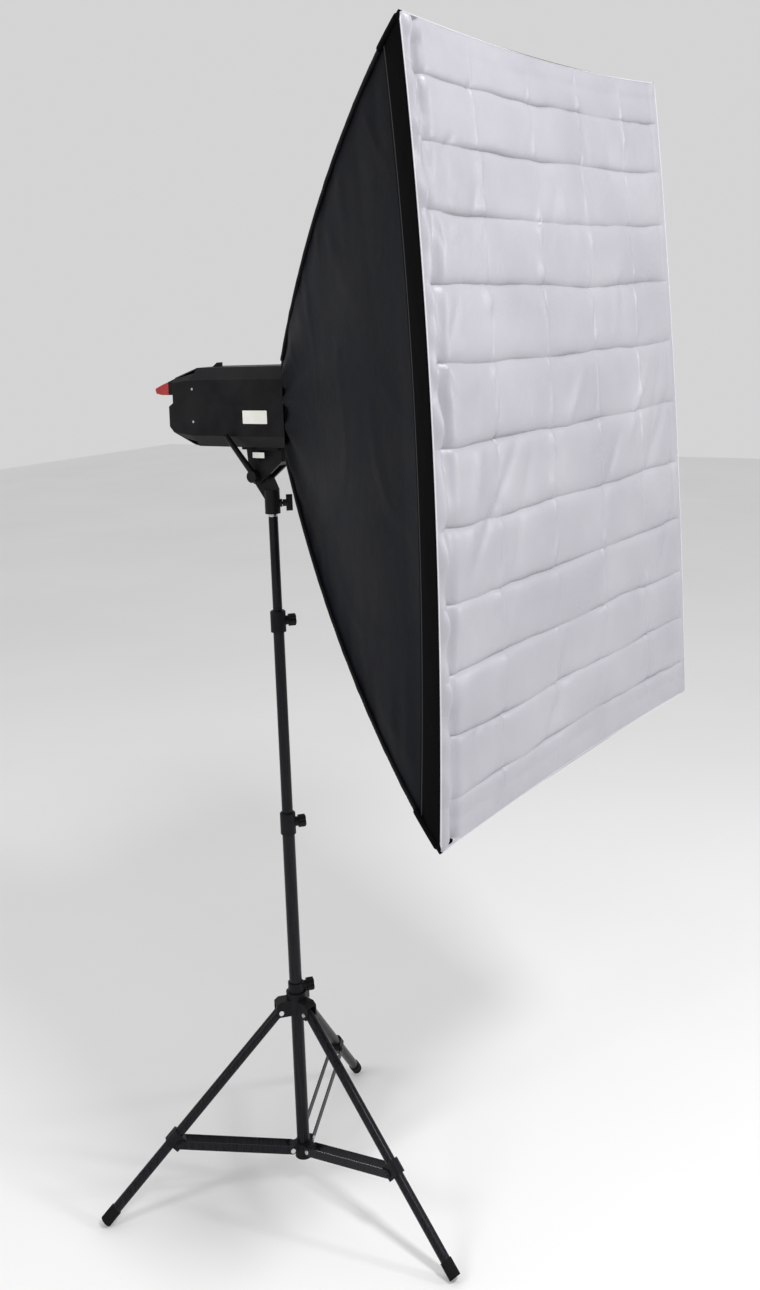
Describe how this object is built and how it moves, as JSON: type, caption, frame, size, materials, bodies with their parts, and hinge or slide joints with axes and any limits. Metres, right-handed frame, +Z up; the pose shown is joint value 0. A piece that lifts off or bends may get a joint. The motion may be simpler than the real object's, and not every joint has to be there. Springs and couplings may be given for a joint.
{
  "type": "studio softbox",
  "caption": "Rectangular softbox on a monolight flash head, with a tilting bracket and a folding three-leg telescopic light stand.",
  "frame": {"origin": "on the floor, under the axis of the stand's column", "axes": "+Z up along the column, the softbox faces -Y, +X is to the right of someone who faces the softbox's front"},
  "size_m": [0.9, 0.9213, 2.152],
  "materials": {
    "stand_tube": "satin black anodised tube",
    "stand_plastic": "moulded dark plastic",
    "knob_plastic": "moulded black plastic",
    "bright_steel": "bright steel",
    "foot_rubber": "black rubber",
    "nylon": "natural nylon",
    "bracket_metal": "black cast metal",
    "housing_metal": "black painted aluminium",
    "cover_plastic": "textured black plastic",
    "red_window": "translucent red plastic",
    "bare_aluminium": "machined aluminium",
    "lamp_glass": "clear glass",
    "ceramic": "white ceramic",
    "circuit": "green board",
    "black_nylon": "coated black nylon",
    "white_nylon": "white translucent nylon"
  },
  "bodies": {
    "root": {"base_tube": "stand_tube", "hub": "stand_plastic", "hub_rivets": "bright_steel", "lower_collar": "stand_plastic"},
    "crown": {"crown": "stand_plastic", "crown_rivets": "bright_steel"},
    "crown_knob": {"crown_knob": "knob_plastic"},
    "lower_knob": {"lower_knob": "knob_plastic"},
    "riser_1": {"riser_1_tube": "stand_tube", "riser_1_bush": "nylon", "upper_collar": "stand_plastic"},
    "upper_knob": {"upper_knob": "knob_plastic"},
    "riser_2": {"riser_2_tube": "stand_tube", "riser_2_bush": "nylon", "spigot": "bright_steel"},
    "socket": {"stand_socket": "bracket_metal"},
    "wing_screw": {"wing_screw": "bracket_metal"},
    "head": {"head_bracket": "bracket_metal", "tilt_bolt": "bright_steel", "housing": "housing_metal", "rear_cover": "cover_plastic", "handle_arms": "cover_plastic", "slave_cover": "red_window", "mains_inlet": "cover_plastic", "sync_socket": "cover_plastic", "body_screws": "bright_steel", "front_plate": "bare_aluminium", "mount_ring": "bare_aluminium", "lamp_holder": "ceramic", "modelling_lamp": "lamp_glass", "flash_tube": "lamp_glass", "glass_dome": "lamp_glass", "flash_capacitors": "bare_aluminium", "circuit_board": "circuit"},
    "tilt_lever": {"tilt_lever": "bracket_metal"},
    "release_slider": {"release_slider": "bracket_metal"},
    "flash_dial": {"flash_dial": "knob_plastic"},
    "lamp_dial": {"lamp_dial": "knob_plastic"},
    "power_switch": {"power_switch": "knob_plastic"},
    "test_button": {"test_button": "red_window"},
    "softbox": {"speedring": "bare_aluminium", "rods": "bright_steel", "shell_top": "black_nylon", "shell_bottom": "black_nylon", "shell_left": "black_nylon", "shell_right": "black_nylon", "inner_baffle": "white_nylon", "front_diffuser": "white_nylon"},
    "leg_1": {"leg_tube_1": "stand_tube", "foot_cap_1": "foot_rubber", "leg_clip_1": "stand_plastic"},
    "brace_1": {"brace_1": "stand_tube"},
    "leg_2": {"leg_tube_2": "stand_tube", "foot_cap_2": "foot_rubber", "leg_clip_2": "stand_plastic"},
    "brace_2": {"brace_2": "stand_tube"},
    "leg_3": {"leg_tube_3": "stand_tube", "foot_cap_3": "foot_rubber", "leg_clip_3": "stand_plastic"},
    "brace_3": {"brace_3": "stand_tube"}
  },
  "joints": [
    {"name": "crown_slide", "type": "slide", "parent": "root", "child": "crown", "axis": [0, 0, 1], "range_m": [0, 0.25861]},
    {"name": "leg_1_fold", "type": "hinge", "parent": "crown", "child": "leg_1", "pos_m": [-0.02635, 0.02149, 0.351], "axis": [0.632, 0.7749, 0], "range_deg": [-46.35, 0]},
    {"name": "brace_1_fold", "type": "hinge", "parent": "root", "child": "brace_1", "pos_m": [-0.0186, 0.01517, 0.078], "axis": [0.632, 0.7749, 0], "range_deg": [0, 76.97]},
    {"name": "leg_2_fold", "type": "hinge", "parent": "crown", "child": "leg_2", "pos_m": [-0.00544, -0.03356, 0.351], "axis": [-0.9871, 0.1599, 0], "range_deg": [-46.35, 0]},
    {"name": "brace_2_fold", "type": "hinge", "parent": "root", "child": "brace_2", "pos_m": [-0.00384, -0.02369, 0.078], "axis": [-0.9871, 0.1599, 0], "range_deg": [0, 76.97]},
    {"name": "leg_3_fold", "type": "hinge", "parent": "crown", "child": "leg_3", "pos_m": [0.03178, 0.01207, 0.351], "axis": [0.3551, -0.9348, 0], "range_deg": [-46.35, 0]},
    {"name": "brace_3_fold", "type": "hinge", "parent": "root", "child": "brace_3", "pos_m": [0.02244, 0.00852, 0.078], "axis": [0.3551, -0.9348, 0], "range_deg": [0, 76.97]},
    {"name": "crown_knob_turn", "type": "hinge", "parent": "crown", "child": "crown_knob", "pos_m": [0, 0, 0.393], "axis": [0.7749, -0.632, 0], "range_deg": [0, 180]},
    {"name": "lower_knob_turn", "type": "hinge", "parent": "root", "child": "lower_knob", "pos_m": [0, 0, 0.719], "axis": [0.7749, -0.632, 0], "range_deg": [0, 180]},
    {"name": "riser_1_slide", "type": "slide", "parent": "root", "child": "riser_1", "axis": [0, 0, 1], "range_m": [-0.355, 0.18]},
    {"name": "upper_knob_turn", "type": "hinge", "parent": "riser_1", "child": "upper_knob", "pos_m": [0, 0, 1.121], "axis": [0.7749, -0.632, 0], "range_deg": [0, 180]},
    {"name": "riser_2_slide", "type": "slide", "parent": "riser_1", "child": "riser_2", "axis": [0, 0, 1], "range_m": [-0.19, 0.26]},
    {"name": "head_pan", "type": "hinge", "parent": "riser_2", "child": "socket", "pos_m": [0, 0, 1.36], "axis": [0, 0, 1], "continuous": true},
    {"name": "wing_screw_turn", "type": "hinge", "parent": "socket", "child": "wing_screw", "pos_m": [0, 0, 1.356], "axis": [0.6428, -0.766, 0], "range_deg": [0, 180]},
    {"name": "head_tilt", "type": "hinge", "parent": "socket", "child": "head", "pos_m": [0, 0.024, 1.412], "axis": [1, 0, 0], "range_deg": [-90, 45]},
    {"name": "tilt_lever_turn", "type": "hinge", "parent": "head", "child": "tilt_lever", "pos_m": [-0.025, 0.024, 1.412], "axis": [1, 0, 0], "range_deg": [-60, 80]},
    {"name": "release_slide", "type": "slide", "parent": "head", "child": "release_slider", "axis": [0, -1, 0], "range_m": [0, 0.006], "stiffness_N_per_m": 300},
    {"name": "flash_dial_turn", "type": "hinge", "parent": "head", "child": "flash_dial", "pos_m": [-0.03, 0.22, 1.534], "axis": [0, 1, 0], "range_deg": [-150, 150]},
    {"name": "lamp_dial_turn", "type": "hinge", "parent": "head", "child": "lamp_dial", "pos_m": [0.03, 0.22, 1.534], "axis": [0, 1, 0], "range_deg": [-150, 150]},
    {"name": "power_switch_rock", "type": "hinge", "parent": "head", "child": "power_switch", "pos_m": [0, 0.216, 1.543], "axis": [1, 0, 0], "range_deg": [0, 10]},
    {"name": "test_button_press", "type": "slide", "parent": "head", "child": "test_button", "axis": [0, -1, 0], "range_m": [0, 0.002], "stiffness_N_per_m": 400},
    {"name": "softbox_spin", "type": "hinge", "parent": "head", "child": "softbox", "pos_m": [0, -0.12, 1.552], "axis": [0, -1, 0], "continuous": true}
  ],
  "couplings": [
    {"joint": "leg_1_fold", "follows": "crown_slide", "rad_per_m": -3.1247},
    {"joint": "brace_1_fold", "follows": "crown_slide", "rad_per_m": 5.1914},
    {"joint": "leg_2_fold", "follows": "crown_slide", "rad_per_m": -3.1247},
    {"joint": "brace_2_fold", "follows": "crown_slide", "rad_per_m": 5.1914},
    {"joint": "leg_3_fold", "follows": "crown_slide", "rad_per_m": -3.1247},
    {"joint": "brace_3_fold", "follows": "crown_slide", "rad_per_m": 5.1914}
  ]
}
